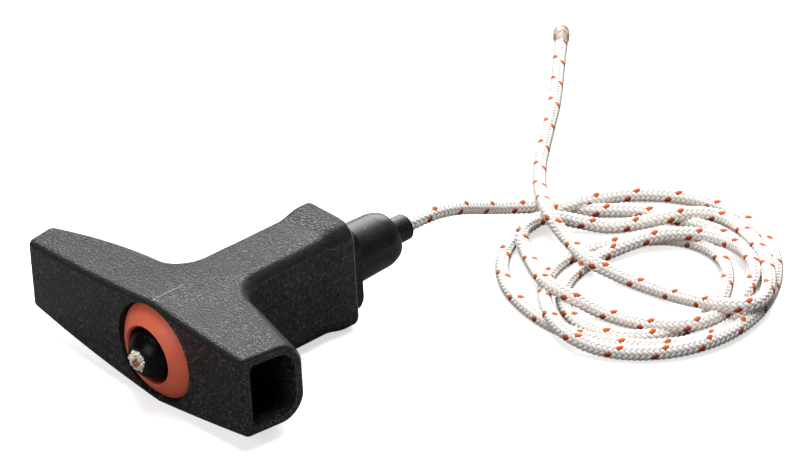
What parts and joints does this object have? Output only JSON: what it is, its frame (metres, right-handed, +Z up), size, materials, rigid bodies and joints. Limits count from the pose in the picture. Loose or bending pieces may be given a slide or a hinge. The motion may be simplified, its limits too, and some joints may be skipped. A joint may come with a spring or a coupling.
{
  "type": "recoil starter handle",
  "caption": "T-shaped pull handle for a recoil starter with an elastomer damper cone, a rope bush, a rubber boot and a loosely coiled starter rope.",
  "frame": {"origin": "on the surface that the part lies on, under the middle of the handle's bounding box, measured without the free rope", "axes": "+Y along the stem, from the grip's front face to the rope outlet; +X along the grip's bar, towards its shorter arm; +Z up from the surface"},
  "size_m": [0.1498, 0.2091, 0.0312],
  "materials": {
    "grip_plastic": "fine grained black glass-filled plastic",
    "orange_elastomer": "smooth satin orange-red elastomer",
    "black_plastic": "polished black plastic",
    "black_rubber": "smooth black rubber with a soft sheen",
    "braided_rope": "white braid with orange tracer flecks"
  },
  "bodies": {
    "root": {"grip_body": "grip_plastic", "damper_bush": "orange_elastomer", "rope_nipple": "black_plastic", "rubber_boot": "black_rubber", "rope_in_grip": "braided_rope", "rope_lead": "braided_rope", "rope_coil": "braided_rope", "rope_tail": "braided_rope"}
  },
  "joints": []
}
